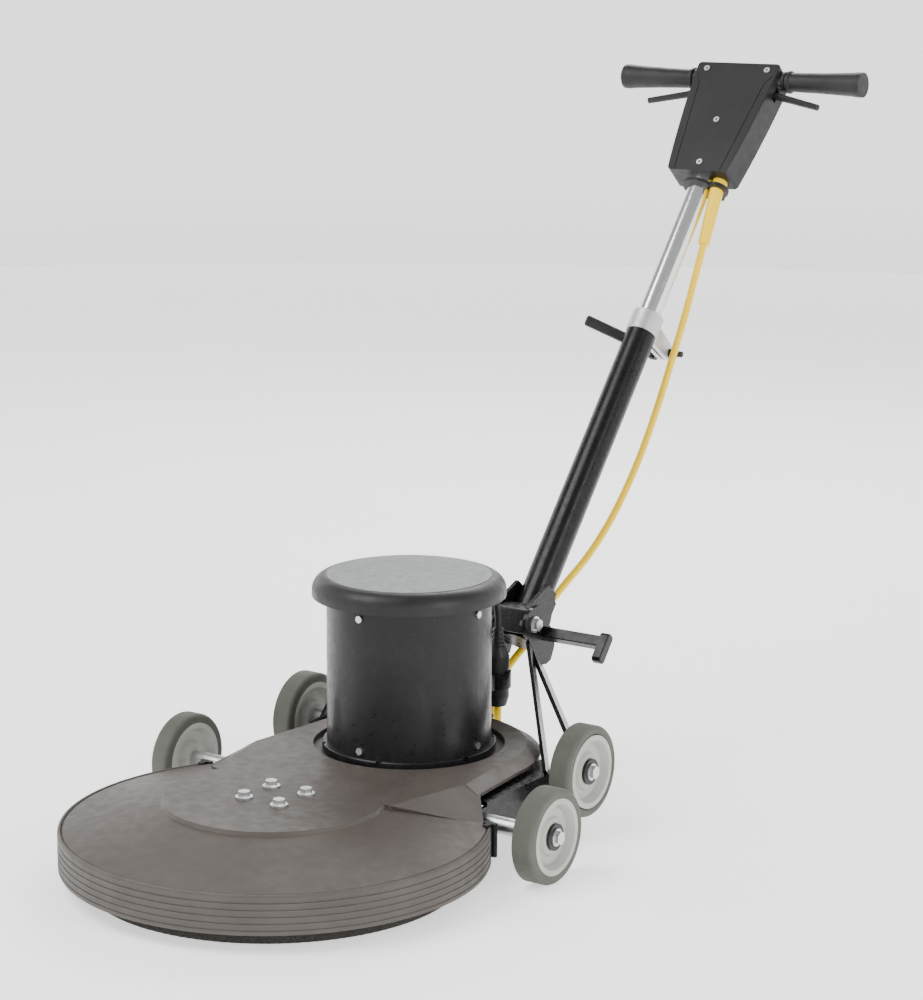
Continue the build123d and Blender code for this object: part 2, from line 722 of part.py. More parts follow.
for end_name, end_wheel in (("front_wheel", FRONT_WHEEL), ("rear_wheel", REAR_WHEEL)):
    for side_name, side_sign in (("left", 1), ("right", -1)):
        build_wheel(f"{end_name}_{side_name}", end_wheel, side_sign)

washer_outer = HUB_RECESS - HUB_GAP - WASHER_THICKNESS
WHEEL_SPOTS = [(wheel, side) for wheel in (FRONT_WHEEL, REAR_WHEEL) for side in (1, -1)]

with BuildPart() as axle_stubs:
    for (outer_x, y, z), side in WHEEL_SPOTS:
        shoulder = WHEEL_WIDTH + HUB_GAP
        plate_gap = outer_x - PLATE_OUT
        with BuildSketch(wheel_plane(outer_x, y, z, side)):
            Polygon(
                (washer_outer, 0),
                (washer_outer, AXLE_RADIUS),
                (shoulder, AXLE_RADIUS),
                (shoulder, 12),
                (plate_gap, 12),
                (plate_gap, 0),
                align=None,
            )
        revolve(axis=wheel_axis(y, z))
save(axle_stubs.part, "axle_stubs")

with BuildPart() as axle_washers:
    for (outer_x, y, z), side in WHEEL_SPOTS:
        with BuildSketch(wheel_plane(outer_x, y, z, side)):
            with Locations((washer_outer + WASHER_THICKNESS / 2, (AXLE_RADIUS + 18.5) / 2)):
                Rectangle(WASHER_THICKNESS, 18.5 - AXLE_RADIUS)
        revolve(axis=wheel_axis(y, z))
save(axle_washers.part, "axle_washers")

with BuildPart() as axle_bolts:
    for (outer_x, y, z), side in WHEEL_SPOTS:
        head = side * (outer_x - washer_outer)
        with BuildSketch(Plane(origin=(head, y, z), z_dir=(side, 0, 0))):
            Circle(12)
        extrude(amount=2)
        with BuildSketch(Plane(origin=(head + 2 * side, y, z), z_dir=(side, 0, 0))):
            RegularPolygon(9.5, 6)
        extrude(amount=6)
save(axle_bolts.part, "axle_bolts")

with BuildPart() as pivot_bolts:
    for side in (1, -1):
        with BuildSketch(Plane(origin=(side * YOKE_OUT, PIVOT_Y, PIVOT_Z), z_dir=(side, 0, 0))):
            Circle(12.5)
        extrude(amount=2.5)
        with BuildSketch(Plane(origin=(side * (YOKE_OUT + 2.5), PIVOT_Y, PIVOT_Z), z_dir=(side, 0, 0))):
            RegularPolygon(9.5, 6)
        extrude(amount=7)
        with BuildSketch(Plane(origin=(side * YOKE_OUT, PIVOT_Y, PIVOT_Z), z_dir=(-side, 0, 0))):
            Circle(PIVOT_RADIUS)
        extrude(amount=30)
save(pivot_bolts.part, "pivot_bolts")

HOOK_BAR = 17.0
HOOK_ALONG = -147.5
HOOK_OUT = 138.0
HOOK_HALF = 23.5
with BuildPart() as cord_hook:
    with BuildSketch(handle_side_plane(YOKE_OUT)):
        with Locations((0.5, HOOK_ALONG)):
            RectangleRounded(HOOK_BAR, HOOK_BAR, 1.5)
    extrude(amount=HOOK_OUT - YOKE_OUT)
    with BuildSketch(handle_side_plane(HOOK_OUT)):
        with Locations((0.5, HOOK_ALONG - 8)):
            RectangleRounded(HOOK_BAR, 2 * HOOK_HALF, 6)
    extrude(amount=14)
    fillet(cord_hook.faces().sort_by(Axis.X)[-1].edges(), radius=2)
save(cord_hook.part, "cord_hook")

# ---- motor lead connector and its bracket ----
CONNECTOR_X = 17.0
CONNECTOR_Y = 515.0
CONNECTOR_LOW = 122.0
CONNECTOR_HIGH = 212.0
CONNECTOR_RADIUS = 17.0
LEAD_RADIUS = 5.0
with BuildPart() as connector:
    with BuildSketch(Plane(origin=(CONNECTOR_X, CONNECTOR_Y, CONNECTOR_LOW))):
        Circle(13)
    with BuildSketch(Plane(origin=(CONNECTOR_X, CONNECTOR_Y, CONNECTOR_LOW + 14))):
        Circle(CONNECTOR_RADIUS)
    loft()
    with BuildSketch(Plane(origin=(CONNECTOR_X, CONNECTOR_Y, CONNECTOR_LOW + 14))):
        Circle(CONNECTOR_RADIUS)
    extrude(amount=CONNECTOR_HIGH - CONNECTOR_LOW - 28)
    with BuildSketch(Plane(origin=(CONNECTOR_X, CONNECTOR_Y, CONNECTOR_HIGH - 14))):
        Circle(CONNECTOR_RADIUS)
    with BuildSketch(Plane(origin=(CONNECTOR_X, CONNECTOR_Y, CONNECTOR_HIGH))):
        Circle(10)
    loft()
    for ring in range(4):
        with BuildSketch(Plane(origin=(CONNECTOR_X, CONNECTOR_Y, CONNECTOR_HIGH + ring * 7))):
            Circle(8 - ring * 0.5)
        extrude(amount=7)
        with BuildSketch(Plane(origin=(CONNECTOR_X, CONNECTOR_Y, CONNECTOR_HIGH + ring * 7 + 2))):
            Circle(10 - ring * 0.6)
        extrude(amount=3)
save(connector.part, "lead_connector")

LEAD_START = Vector(CONNECTOR_X, CONNECTOR_Y, CONNECTOR_HIGH + 28)
LEAD_POINTS = [
    LEAD_START,
    Vector(CONNECTOR_X, CONNECTOR_Y, 268),
    Vector(18, 500, 296),
    Vector(19, 466, 311),
    Vector(20, 426.3, 311),
]


def tangent_radii(points):
    """Largest even bend radius at each inner point of a route: 0.45 of the shorter run beside it."""
    radii = []
    for before, corner, after in zip(points, points[1:], points[2:]):
        shorter = min((corner - before).length, (after - corner).length)
        half_turn = radians((corner - before).get_angle(after - corner)) / 2
        radii.append(0.45 * shorter / tan(half_turn))
    return radii


def report_route(name, points, radius):
    radii = tangent_radii(points)
    turns = [(b - a).get_angle(c - b) for a, b, c in zip(points, points[1:], points[2:])]
    bent = sum(2 * r * (radians(turn) / 2 - tan(radians(turn) / 2)) for r, turn in zip(radii, turns))
    length = sum((b - a).length for a, b in zip(points, points[1:])) + bent
    print(name, "length", round(length, 1), "radii", [round(r, 1) for r in radii])
    print("  turns", [round(turn, 1) for turn in turns])
    print("  runs", [round((b - a).length, 1) for a, b in zip(points, points[1:])])
    print("  section volume", round(pi * radius**2 * length, 0))
    return radii


lead_radii = report_route("motor_lead", LEAD_POINTS, LEAD_RADIUS)
with BuildPart() as motor_lead:
    with BuildLine():
        FilletPolyline(*LEAD_POINTS, radius=lead_radii)
    with BuildSketch(Plane(origin=LEAD_START, z_dir=(0, 0, 1))):
        Circle(LEAD_RADIUS)
    sweep()
    add(motor_can.part, mode=Mode.SUBTRACT)
save(motor_lead.part.solids().sort_by(SortBy.VOLUME)[-1], "motor_lead")
print("  swept volume", round(motor_lead.part.volume, 0))

# bracket behind the motor: a foot on the deck, a post and a collar round the connector
BRACKET_LOW = 150.0
BRACKET_HEIGHT = 24.0
POST_Y = 486.0
with BuildPart() as rear_bracket:
    with BuildSketch(Plane.XY.offset(BRACKET_LOW)):
        with Locations((CONNECTOR_X, CONNECTOR_Y)):
            Circle(CONNECTOR_RADIUS + 3)
        with Locations((CONNECTOR_X, (CONNECTOR_Y + POST_Y) / 2 - 8)):
            Rectangle(16, CONNECTOR_Y - POST_Y - 11)
        with Locations((CONNECTOR_X, CONNECTOR_Y)):
            Circle(CONNECTOR_RADIUS, mode=Mode.SUBTRACT)
    extrude(amount=BRACKET_HEIGHT)
    with BuildSketch(Plane.XY.offset(DECK_TOP)):
        with Locations((CONNECTOR_X, POST_Y - 5)):
            Rectangle(16, 5)
    extrude(amount=BRACKET_LOW + BRACKET_HEIGHT - DECK_TOP)
    with BuildSketch(Plane.XY.offset(DECK_TOP)):
        with Locations((CONNECTOR_X, POST_Y - 17)):
            Rectangle(30, 26)
    extrude(amount=4)
save(rear_bracket.part, "rear_bracket")

# ---- lower handle ----
with BuildPart() as handle_base:
    # square cross block on the pivot
    with BuildSketch(side_plane(-33.2)):
        with Locations((585, 239)):
            RectangleRounded(38, 38, 3)
    extrude(amount=66.4)
    # gusset cheeks either side of the tube
    for side in (1, -1):
        with BuildSketch(handle_side_plane(side * LOWER_TUBE_RADIUS)):
            Polygon(
                (-48, -160),
                (-48, -125),
                (-22, -78),
                (6, -78),
                (20, -120),
                (20, -166),
                align=None,
            )
        extrude(amount=side * 6)
    # socket for the tube and bore for the pivot bolts
    with BuildSketch(across_plane(-200)):
        Circle(LOWER_TUBE_RADIUS)
    extrude(amount=200, mode=Mode.SUBTRACT)
    with BuildSketch(Plane(origin=(-50, PIVOT_Y, PIVOT_Z), z_dir=(1, 0, 0))):
        Circle(PIVOT_RADIUS + 0.08)
    extrude(amount=100, mode=Mode.SUBTRACT)
save(handle_base.part, "handle_base")

with BuildPart() as lower_tube:
    with BuildSketch(across_plane(LOWER_TUBE_START)):
        Circle(LOWER_TUBE_RADIUS)
        Circle(LOWER_TUBE_BORE, mode=Mode.SUBTRACT)
    extrude(amount=LOWER_TUBE_END - LOWER_TUBE_START)
    with BuildSketch(across_plane(LOWER_TUBE_START)):
        Circle(LOWER_TUBE_BORE)
    extrude(amount=4)
save(lower_tube.part, "lower_tube")

EAR_INNER = 2.5
EAR_OUTER = 10.0
with BuildPart() as clamp_collar:
    with BuildSketch(across_plane(344)):
        Circle(LOWER_TUBE_BORE)
    extrude(amount=40)
    with BuildSketch(across_plane(LOWER_TUBE_END)):
        Circle(COLLAR_RADIUS)
    extrude(amount=COLLAR_TOP - LOWER_TUBE_END)
    fillet(clamp_collar.edges().filter_by(GeomType.CIRCLE).sort_by(Axis.Z)[-1], radius=1.5)
    with BuildSketch(handle_side_plane(-EAR_OUTER)):
        Polygon((18, 385), (18, 418), (88, 415), (95, 411), (95, 397), (88, 393), align=None)
    extrude(amount=2 * EAR_OUTER)
    with BuildSketch(across_plane(340)):
        Circle(UPPER_TUBE_RADIUS + SLIDE_FIT)
    extrude(amount=90, mode=Mode.SUBTRACT)
    with BuildSketch(handle_side_plane(-EAR_INNER)):
        Polygon((12, 380), (12, 425), (100, 425), (100, 380), align=None)
    extrude(amount=2 * EAR_INNER, mode=Mode.SUBTRACT)
    with BuildSketch(handle_side_plane(-20)):
        with Locations((CLAMP_REAR, CLAMP_ALONG)):
            Circle(4)
    extrude(amount=40, mode=Mode.SUBTRACT)
save(clamp_collar.part, "clamp_collar")

PIN_RADIUS = 4.0
with BuildPart() as clamp_bolt:
    with BuildSketch(handle_side_plane(EAR_OUTER)):
        with Locations((CLAMP_REAR, CLAMP_ALONG)):
            Circle(7.5)
    extrude(amount=4)
    with BuildSketch(handle_side_plane(EAR_OUTER + 4)):
        with Locations((CLAMP_REAR, CLAMP_ALONG)):
            Circle(5)
    extrude(amount=18)
    fillet(clamp_bolt.faces().sort_by(Axis.X)[-1].edges(), radius=1.5)
    with BuildSketch(handle_side_plane(EAR_OUTER)):
        with Locations((CLAMP_REAR, CLAMP_ALONG)):
            Circle(4)
    extrude(amount=CLAMP_PIN_X - EAR_OUTER)
    with BuildSketch(across_plane(CLAMP_ALONG - 13, x=CLAMP_PIN_X, rear=CLAMP_REAR)):
        Circle(PIN_RADIUS)
    extrude(amount=26)
save(clamp_bolt.part, "clamp_bolt")

CAM_RADIUS = 9.6
LEVER_DIR = Vector(-0.75, -0.66).normalized()
lever_angle = degrees(asin(LEVER_DIR.Y))
with BuildPart() as clamp_lever:
    # forked cam head
    with BuildSketch(across_plane(CLAMP_ALONG - 10, x=CLAMP_PIN_X, rear=CLAMP_REAR)):
        Circle(CAM_RADIUS)
        with Locations(LEVER_DIR * 24):
            Rectangle(48, 9, rotation=180 - lever_angle)
    extrude(amount=20)
    # flat arm and grip
    arm_start = handle_point(CLAMP_PIN_X + LEVER_DIR.X * 44, CLAMP_REAR + LEVER_DIR.Y * 44, CLAMP_ALONG)
    arm_dir = Vector(1, 0, 0) * LEVER_DIR.X + HANDLE_REAR * LEVER_DIR.Y
    with BuildSketch(Plane(origin=arm_start, x_dir=HANDLE_DIR, z_dir=arm_dir)):
        RectangleRounded(18, 12, 5.5)
    extrude(amount=LEVER_REACH - 44)
    fillet(clamp_lever.faces().sort_by(Axis.X)[0].edges(), radius=4)
    # slot that clears the clamp bolt's shank as the lever swings
    with BuildSketch(across_plane(CLAMP_ALONG - 4.6, x=CLAMP_PIN_X, rear=CLAMP_REAR)):
        Circle(CAM_RADIUS + 1)
    extrude(amount=9.2, mode=Mode.SUBTRACT)
    with BuildSketch(across_plane(CLAMP_ALONG - 20, x=CLAMP_PIN_X, rear=CLAMP_REAR)):
        Circle(PIN_RADIUS + 0.08)
    extrude(amount=40, mode=Mode.SUBTRACT)
save(clamp_lever.part, "clamp_lever")

CLIP_OUTER = 9.0
CLIP_LENGTH = 16.0
with BuildPart() as cord_clip:
    with BuildSketch(across_plane(CLIP_POINT[2], x=CLIP_POINT[0], rear=CLIP_POINT[1])):
        Circle(CLIP_OUTER)
        with Locations((-CLIP_POINT[0] / 2, -9)):
            Rectangle(12, 12)
    extrude(amount=CLIP_LENGTH)
    with BuildSketch(across_plane(CLIP_POINT[2] - 5)):
        Circle(LOWER_TUBE_RADIUS)
    extrude(amount=40, mode=Mode.SUBTRACT)
save(cord_clip.part, "cord_clip")

# ---- upper handle ----
with BuildPart() as upper_tube:
    with BuildSketch(across_plane(UPPER_TUBE_START)):
        Circle(UPPER_TUBE_RADIUS)
        Circle(UPPER_TUBE_BORE, mode=Mode.SUBTRACT)
    extrude(amount=UPPER_TUBE_END - UPPER_TUBE_START)
save(upper_tube.part, "upper_tube")

HEAD_BULGE = 3.0
HEAD_WALL = 4.0


def head_outline(inset):
    low = HEAD_LOW + inset
    high = HEAD_HIGH - inset
    half_low = HEAD_HALF_LOW - inset
    half_high = HEAD_HALF_HIGH - inset
    middle = (low + high) / 2
    half_middle = (half_low + half_high) / 2 + HEAD_BULGE
    Line((-half_low, low), (half_low, low))
    ThreePointArc((half_low, low), (half_middle, middle), (half_high, high))
    Line((half_high, high), (-half_high, high))
    ThreePointArc((-half_high, high), (-half_middle, middle), (-half_low, low))


with BuildPart() as head_shell:
    with BuildSketch(face_plane(HEAD_REAR)):
        with BuildLine():
            head_outline(0)
        make_face()
    extrude(amount=HEAD_SPLIT - HEAD_REAR)
    fillet(head_shell.edges().filter_by(Axis(HANDLE_ORIGIN, HANDLE_REAR)), radius=7)
    with BuildSketch(face_plane(HEAD_REAR + HEAD_WALL)):
        with BuildLine():
            head_outline(HEAD_WALL)
        make_face()
    extrude(amount=HEAD_SPLIT - HEAD_REAR, mode=Mode.SUBTRACT)
    # tube socket in the floor of the shell, openings for the triggers
    with BuildSketch(across_plane(HEAD_LOW - 5)):
        Circle(UPPER_TUBE_RADIUS)
    extrude(amount=UPPER_TUBE_END - HEAD_LOW + 6, mode=Mode.SUBTRACT)
    with BuildSketch(handle_side_plane(-100)):
        with Locations((-TRIGGER_HEIGHT, TRIGGER_ALONG - 1.5)):
            Rectangle(13, 22)
    extrude(amount=200, mode=Mode.SUBTRACT)
    with BuildSketch(handle_side_plane(-100)):
        with Locations((-BAR_HEIGHT, BAR_ALONG)):
            Circle(BAR_RADIUS)
    extrude(amount=200, mode=Mode.SUBTRACT)
save(head_shell.part, "head_shell")

GROOVE_INSET = 14.0
with BuildPart() as head_cover:
    with BuildSketch(face_plane(HEAD_SPLIT)):
        with BuildLine():
            head_outline(0)
        make_face()
    extrude(amount=HEAD_FRONT - HEAD_SPLIT)
    fillet(head_cover.edges().filter_by(Axis(HANDLE_ORIGIN, HANDLE_REAR)), radius=7)
    chamfer(head_cover.faces().sort_by(Axis(HANDLE_ORIGIN, -HANDLE_REAR))[-1].edges(), length=1.2)
    with BuildSketch(face_plane(HEAD_SPLIT)):
        with BuildLine():
            head_outline(HEAD_WALL)
        make_face()
    extrude(amount=HEAD_FRONT - HEAD_SPLIT - HEAD_WALL, mode=Mode.SUBTRACT)
    with BuildSketch(across_plane(HEAD_LOW - 5)):
        Circle(UPPER_TUBE_RADIUS)
    extrude(amount=UPPER_TUBE_END - HEAD_LOW + 6, mode=Mode.SUBTRACT)
    # fine grooves that frame the panel, and the screw wells
    with BuildSketch(face_plane(HEAD_FRONT)):
        for side in (1, -1):
            with BuildLine() as groove_line:
                Polyline(
                    (side * (HEAD_HALF_LOW - GROOVE_INSET + 1), HEAD_LOW),
                    (side * (HEAD_HALF_HIGH - GROOVE_INSET - 2), 858),
                    (side * (HEAD_HALF_HIGH - 6), 872),
                )
            trace(groove_line.edges(), line_width=1.2)
    extrude(amount=-1, mode=Mode.SUBTRACT)
    with BuildSketch(handle_side_plane(-100)):
        with Locations((-BAR_HEIGHT, BAR_ALONG)):
            Circle(BAR_RADIUS)
    extrude(amount=200, mode=Mode.SUBTRACT)
save(head_cover.part, "head_cover")

HEAD_SCREWS = ((-55.5, 884.0), (55.5, 884.0), (0.0, 782.0), (0.0, 698.0))
with BuildPart() as head_fasteners:
    with BuildSketch(face_plane(HEAD_FRONT)):
        with Locations(*HEAD_SCREWS):
            Circle(5)
            Circle(2, mode=Mode.SUBTRACT)
    extrude(amount=1.5)
    # pins that the triggers turn on
    with BuildSketch(face_plane(HEAD_REAR + HEAD_WALL)):
        with Locations((TRIGGER_PIVOT_X, TRIGGER_ALONG), (-TRIGGER_PIVOT_X, TRIGGER_ALONG)):
            Circle(3)
    extrude(amount=HEAD_FRONT - HEAD_REAR - 2 * HEAD_WALL)
save(head_fasteners.part, "head_fasteners")

with BuildPart() as power_switch:
    with BuildSketch(face_plane(HEAD_REAR + HEAD_WALL)):
        with Locations((0, 800)):
            RectangleRounded(46, 34, 3)
    extrude(amount=20)
    with BuildSketch(face_plane(HEAD_REAR + HEAD_WALL)):
        with Locations((0, 829)):
            Rectangle(14, 24)
    extrude(amount=12)
save(power_switch.part, "power_switch")

with BuildPart() as handlebar:
    with BuildSketch(handle_side_plane(-GRIP_END + 4)):
        with Locations((-BAR_HEIGHT, BAR_ALONG)):
            Circle(BAR_RADIUS)
            Circle(BAR_RADIUS - 2, mode=Mode.SUBTRACT)
    extrude(amount=2 * (GRIP_END - 4))
save(handlebar.part, "handlebar")

GRIP_START = 79.0
grip_axis_point = handle_point(0, -BAR_HEIGHT, BAR_ALONG)
with BuildPart() as hand_grips:
    for side in (1, -1):
        start = Plane(origin=grip_axis_point, x_dir=(side, 0, 0), z_dir=HANDLE_REAR * -side)
        with BuildSketch(start):
            Polygon(
                (GRIP_START, BAR_RADIUS),
                (GRIP_START, 17),
                (GRIP_START + 5, 17),
                (GRIP_START + 5, 15),
                (GRIP_START + 8, 15),
                (GRIP_START + 8, 18.5),
                (GRIP_START + 12, 18.5),
                (GRIP_START + 14, 15.6),
                (150, 17),
                (200, 19.2),
                (212, 20.5),
                (GRIP_END, 20.2),
                (GRIP_END, 0),
                (GRIP_END - 4, 0),
                (GRIP_END - 4, BAR_RADIUS),
                align=None,
            )
        revolve(axis=Axis(grip_axis_point, (1, 0, 0)))
save(hand_grips.part, "hand_grips")


def trigger(side):
    """Faceted squeeze lever, pivoted inside the head."""
    slope = radians(TRIGGER_DROP)
    along_dir = Vector(side * cos(slope), 0, 0) - HANDLE_DIR * sin(slope)
    pivot = handle_point(side * TRIGGER_PIVOT_X, -TRIGGER_HEIGHT, TRIGGER_ALONG)
    reach = (TRIGGER_TIP_X - TRIGGER_PIVOT_X) / cos(slope)
    with BuildPart() as lever:
        with BuildSketch(Plane(origin=pivot, x_dir=HANDLE_REAR, z_dir=along_dir)):
            RegularPolygon(6.2, 8, rotation=22.5)
        with BuildSketch(Plane(origin=pivot + along_dir * reach, x_dir=HANDLE_REAR, z_dir=along_dir)):
            RegularPolygon(5.2, 8, rotation=22.5)
        loft()
        with BuildSketch(Plane(origin=pivot + HANDLE_REAR * 5.5, z_dir=-HANDLE_REAR)):
            Circle(8)
        extrude(amount=11)
        with BuildSketch(Plane(origin=pivot + HANDLE_REAR * 8, z_dir=-HANDLE_REAR)):
            Circle(3.08)
        extrude(amount=16, mode=Mode.SUBTRACT)
    return lever.part


save(trigger(1), "trigger_left")
save(trigger(-1), "trigger_right")

PLATE_ALONG = 664.0
with BuildPart() as cord_plate:
    with BuildSketch(across_plane(PLATE_ALONG)) as strain_outline:
        Circle(28)
        with Locations((BOOT_TOP[0], BOOT_TOP[1])):
            Circle(19)
        with Locations((16, 8)):
            Rectangle(36, 40)
        Circle(UPPER_TUBE_RADIUS, mode=Mode.SUBTRACT)
        with Locations((BOOT_TOP[0], BOOT_TOP[1])):
            Circle(11.5, mode=Mode.SUBTRACT)
    extrude(amount=6)
save(cord_plate.part.solids().sort_by(SortBy.VOLUME)[-1], "cord_plate")

boot_top = handle_point(*BOOT_TOP)
boot_end = handle_point(*BOOT_END)
boot_dir = (boot_end - boot_top).normalized()
BOOT_RIBS = 6
with BuildPart() as cord_boot:
    with BuildSketch(across_plane(PLATE_ALONG + 6, x=BOOT_TOP[0], rear=BOOT_TOP[1])):
        Circle(12.4)
    extrude(amount=HEAD_LOW - PLATE_ALONG - 6)
    with BuildSketch(across_plane(PLATE_ALONG, x=BOOT_TOP[0], rear=BOOT_TOP[1])):
        Circle(11.5)
    extrude(amount=6)
    with BuildSketch(across_plane(PLATE_ALONG, x=BOOT_TOP[0], rear=BOOT_TOP[1])):
        Circle(11.3)
    with BuildSketch(Plane(origin=boot_end, x_dir=(1, 0, 0), z_dir=-boot_dir)):
        Circle(9.4)
    loft()
save(cord_boot.part, "cord_boot")

# ---- cord: from the boot down behind the tube to the clip, then round to the connector ----
UPPER_ROUTE = [
    boot_end,
    boot_end + boot_dir * 56,
    handle_point(30.0, 53.0, 455),
    handle_point(29.0, 66.5, 382),
    handle_point(27.0, 82.0, 300),
    handle_point(23.0, 94.5, 208),
    handle_point(18.0, 94.0, 112),
    handle_point(13.0, 79.0, 30),
    handle_point(8.0, 53.0, -36),
    handle_point(CLIP_POINT[0], CLIP_POINT[1], CLIP_POINT[2] + CLIP_LENGTH),
]
LOWER_ROUTE = [
    handle_point(*CLIP_POINT),
    handle_point(CLIP_POINT[0], CLIP_POINT[1], -128),
    Vector(-22, 623, 166),
    Vector(-41, 606, 130),
    Vector(-36, 580, 86),
    Vector(-19, 560, 60),
    Vector(2, 532.5, 60),
    Vector(CONNECTOR_X, CONNECTOR_Y, 87),
    Vector(CONNECTOR_X, CONNECTOR_Y, CONNECTOR_LOW),
]


def cord(points, name):
    radii = report_route(name, points, CORD_RADIUS)
    with BuildPart() as tube:
        with BuildLine():
            FilletPolyline(*points, radius=radii)
        with BuildSketch(Plane(origin=points[0], z_dir=(points[1] - points[0]).normalized())):
            Circle(CORD_RADIUS)
        sweep()
    print("  swept volume", round(tube.part.volume, 0))
    save(tube.part, name)


cord(UPPER_ROUTE, "cord_upper")
cord(LOWER_ROUTE, "cord_lower")
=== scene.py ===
import json
from math import cos, pi, radians, sin

import bpy
from mathutils import Matrix, Vector


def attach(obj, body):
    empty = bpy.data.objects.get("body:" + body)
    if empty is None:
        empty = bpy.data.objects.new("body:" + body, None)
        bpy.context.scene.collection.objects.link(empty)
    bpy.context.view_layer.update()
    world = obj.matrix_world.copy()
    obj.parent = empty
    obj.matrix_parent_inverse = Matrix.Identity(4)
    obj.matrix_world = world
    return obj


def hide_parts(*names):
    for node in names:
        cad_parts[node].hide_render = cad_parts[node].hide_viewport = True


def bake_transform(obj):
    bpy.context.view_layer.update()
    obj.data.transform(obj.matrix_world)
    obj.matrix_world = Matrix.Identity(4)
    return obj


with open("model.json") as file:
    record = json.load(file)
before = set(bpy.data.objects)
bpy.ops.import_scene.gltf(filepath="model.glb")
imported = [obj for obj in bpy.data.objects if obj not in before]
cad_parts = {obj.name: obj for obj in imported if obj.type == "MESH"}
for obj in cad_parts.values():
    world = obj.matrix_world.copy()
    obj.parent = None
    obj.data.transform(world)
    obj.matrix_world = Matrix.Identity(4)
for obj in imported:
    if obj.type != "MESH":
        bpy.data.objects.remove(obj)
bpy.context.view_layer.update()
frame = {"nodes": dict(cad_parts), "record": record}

# ---- the handle's tilted frame, in metres ----
HANDLE_TILT = radians(39.68)
HANDLE_ORIGIN = Vector((0, 0.7004, 0.3288))
HANDLE_UP = Vector((0, sin(HANDLE_TILT), cos(HANDLE_TILT)))
HANDLE_REAR = Vector((0, cos(HANDLE_TILT), -sin(HANDLE_TILT)))
SIDEWAYS = Vector((1, 0, 0))
CORD_RADIUS = 0.00575
LEAD_RADIUS = 0.005


def handle_point(x, rear, along):
    """Point in the handle's frame: sideways, behind the tube's axis, and up along it."""
    return HANDLE_ORIGIN + SIDEWAYS * x + HANDLE_REAR * rear + HANDLE_UP * along


# ---- camera: placed by a fit to the photograph, angles in degrees, focal length in millimetres ----
CAMERA_PLACE = (2.16258, -2.75724, 1.24277)
CAMERA_AZIMUTH = 34.0595
CAMERA_ELEVATION = 11.7046
CAMERA_ROLL = 0.2653
FOCAL_LENGTH = 98.29
SENSOR = 36.0
CLIP_START = 0.05
CLIP_END = 50


def add_camera():
    data = bpy.data.cameras.new("camera")
    data.sensor_fit = "VERTICAL"
    data.sensor_height = SENSOR
    data.sensor_width = SENSOR
    data.lens = FOCAL_LENGTH
    data.clip_start = CLIP_START
    data.clip_end = CLIP_END
    camera = bpy.data.objects.new("camera", data)
    bpy.context.scene.collection.objects.link(camera)
    turn = Matrix.Rotation(radians(CAMERA_AZIMUTH), 4, "Z")
    raise_up = Matrix.Rotation(radians(90 - CAMERA_ELEVATION), 4, "X")
    roll = Matrix.Rotation(radians(CAMERA_ROLL), 4, "Z")
    camera.matrix_world = Matrix.Translation(CAMERA_PLACE) @ turn @ raise_up @ roll
    bpy.context.scene.camera = camera


add_camera()


# ---- materials ----
COLOUR_MIX_INPUTS = (6, 7)
COLOUR_MIX_RESULT = 2
PLASTIC_SPECULAR = 0.3
PAINT_SPECULAR = 0.25
PAINT_COAT_ROUGHNESS = 0.08


class Finish:
    """A procedural material under construction: one shader and the textures that feed it."""

    def __init__(self, name, roughness, metallic=0.0, **constants):
        self.material = bpy.data.materials.new(name)
        self.material.use_nodes = True
        self.tree = self.material.node_tree
        self.shader = self.tree.nodes["Principled BSDF"]
        self.shader.inputs["Roughness"].default_value = roughness
        self.shader.inputs["Metallic"].default_value = metallic
        for socket, value in constants.items():
            self.shader.inputs[socket.replace("_", " ")].default_value = value
        self.place = self.tree.nodes.new("ShaderNodeTexCoord").outputs["Object"]
        self.height = None

    def noise(self, scale, detail=4.0, rough=0.55, stretch=(1, 1, 1)):
        mapping = self.tree.nodes.new("ShaderNodeMapping")
        mapping.inputs["Scale"].default_value = stretch
        texture = self.tree.nodes.new("ShaderNodeTexNoise")
        texture.inputs["Scale"].default_value = scale
        texture.inputs["Detail"].default_value = detail
        texture.inputs["Roughness"].default_value = rough
        self.tree.links.new(self.place, mapping.inputs["Vector"])
        self.tree.links.new(mapping.outputs["Vector"], texture.inputs["Vector"])
        return texture.outputs["Fac"]

    def spread(self, value, low, high, start=0.3, stop=0.7):
        node = self.tree.nodes.new("ShaderNodeMapRange")
        node.inputs["From Min"].default_value = start
        node.inputs["From Max"].default_value = stop
        node.inputs["To Min"].default_value = low
        node.inputs["To Max"].default_value = high
        self.tree.links.new(value, node.inputs["Value"])
        return node.outputs["Result"]

    def colours(self, value, first, second):
        node = self.tree.nodes.new("ShaderNodeMix")
        node.data_type = "RGBA"
        for index, colour in zip(COLOUR_MIX_INPUTS, (first, second)):
            node.inputs[index].default_value = (*colour, 1)
        self.tree.links.new(value, node.inputs[0])
        self.tree.links.new(node.outputs[COLOUR_MIX_RESULT], self.shader.inputs["Base Color"])
        return self

    def roughness(self, value):
        self.tree.links.new(value, self.shader.inputs["Roughness"])
        return self

    def bump(self, value, strength, distance):
        node = self.tree.nodes.new("ShaderNodeBump")
        node.inputs["Strength"].default_value = strength
        node.inputs["Distance"].default_value = distance
        self.tree.links.new(value, node.inputs["Height"])
        if self.height is not None:
            self.tree.links.new(self.height, node.inputs["Normal"])
        self.height = node.outputs["Normal"]
        self.tree.links.new(self.height, self.shader.inputs["Normal"])
        return self


def moulded_plastic(name, first, second, roughness, grain=1400, strength=0.25):
    """Moulded plastic or rubber with a fine grain, slight mottling and scuffs."""
    finish = Finish(name, roughness, Specular_IOR_Level=PLASTIC_SPECULAR)
    finish.colours(finish.spread(finish.noise(14), 0, 1), first, second)
    finish.roughness(finish.spread(finish.noise(60, 6), roughness - 0.07, roughness + 0.1))
    finish.bump(finish.noise(grain, 2), strength, 0.0003)
    return finish.material


